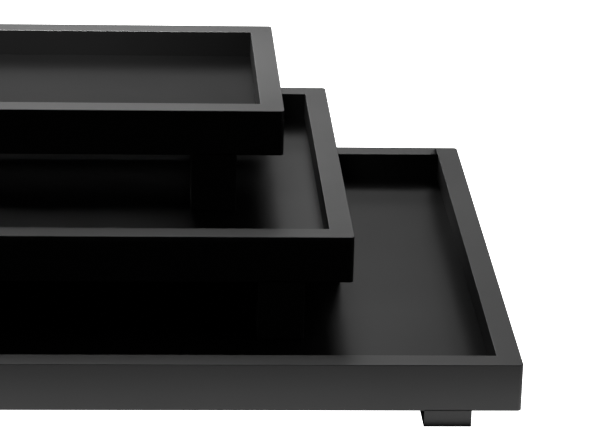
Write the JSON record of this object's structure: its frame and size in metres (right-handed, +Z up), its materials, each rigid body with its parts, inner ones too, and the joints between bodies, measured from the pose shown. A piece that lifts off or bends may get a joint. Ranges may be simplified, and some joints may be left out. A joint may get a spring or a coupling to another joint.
{
  "type": "tiered tray set",
  "caption": "Stepped stack of rectangular black lacquered trays with raised rims and block feet, each standing in and lifting off the tray below, for serving or display.",
  "frame": {"origin": "on the table, under the middle of the large tray", "axes": "+Z up, +X along the long rails to the right, the open front of the cascade towards -Y"},
  "size_m": [0.6, 0.4, 0.1415],
  "materials": {
    "black_lacquer": "satin black lacquer on wood",
    "beech": "bare planed beech",
    "zinc_steel": "bright zinc plate"
  },
  "bodies": {
    "large_tray": {"large_front_rail": "black_lacquer", "large_right_rail": "black_lacquer", "large_back_rail": "black_lacquer", "large_left_rail": "black_lacquer", "large_base_panel": "black_lacquer", "large_front_left_foot": "black_lacquer", "large_front_right_foot": "black_lacquer", "large_back_left_foot": "black_lacquer", "large_back_right_foot": "black_lacquer", "large_front_left_tenon": "beech", "large_front_right_tenon": "beech", "large_back_left_tenon": "beech", "large_back_right_tenon": "beech", "large_front_left_screw": "zinc_steel", "large_front_right_screw": "zinc_steel", "large_back_left_screw": "zinc_steel", "large_back_right_screw": "zinc_steel"},
    "medium_tray": {"medium_front_rail": "black_lacquer", "medium_right_rail": "black_lacquer", "medium_back_rail": "black_lacquer", "medium_left_rail": "black_lacquer", "medium_base_panel": "black_lacquer", "medium_front_left_foot": "black_lacquer", "medium_front_right_foot": "black_lacquer", "medium_back_left_foot": "black_lacquer", "medium_back_right_foot": "black_lacquer", "medium_front_left_tenon": "beech", "medium_front_right_tenon": "beech", "medium_back_left_tenon": "beech", "medium_back_right_tenon": "beech", "medium_front_left_screw": "zinc_steel", "medium_front_right_screw": "zinc_steel", "medium_back_left_screw": "zinc_steel", "medium_back_right_screw": "zinc_steel"},
    "small_tray": {"small_front_rail": "black_lacquer", "small_right_rail": "black_lacquer", "small_back_rail": "black_lacquer", "small_left_rail": "black_lacquer", "small_base_panel": "black_lacquer", "small_front_left_foot": "black_lacquer", "small_front_right_foot": "black_lacquer", "small_back_left_foot": "black_lacquer", "small_back_right_foot": "black_lacquer", "small_front_left_tenon": "beech", "small_front_right_tenon": "beech", "small_back_left_tenon": "beech", "small_back_right_tenon": "beech", "small_front_left_screw": "zinc_steel", "small_front_right_screw": "zinc_steel", "small_back_left_screw": "zinc_steel", "small_back_right_screw": "zinc_steel"}
  },
  "joints": [
    {"name": "medium_lift", "type": "slide", "parent": "large_tray", "child": "medium_tray", "axis": [0, 0, 1], "range_m": [0, 0.08]},
    {"name": "small_lift", "type": "slide", "parent": "medium_tray", "child": "small_tray", "axis": [0, 0, 1], "range_m": [0, 0.08]}
  ]
}
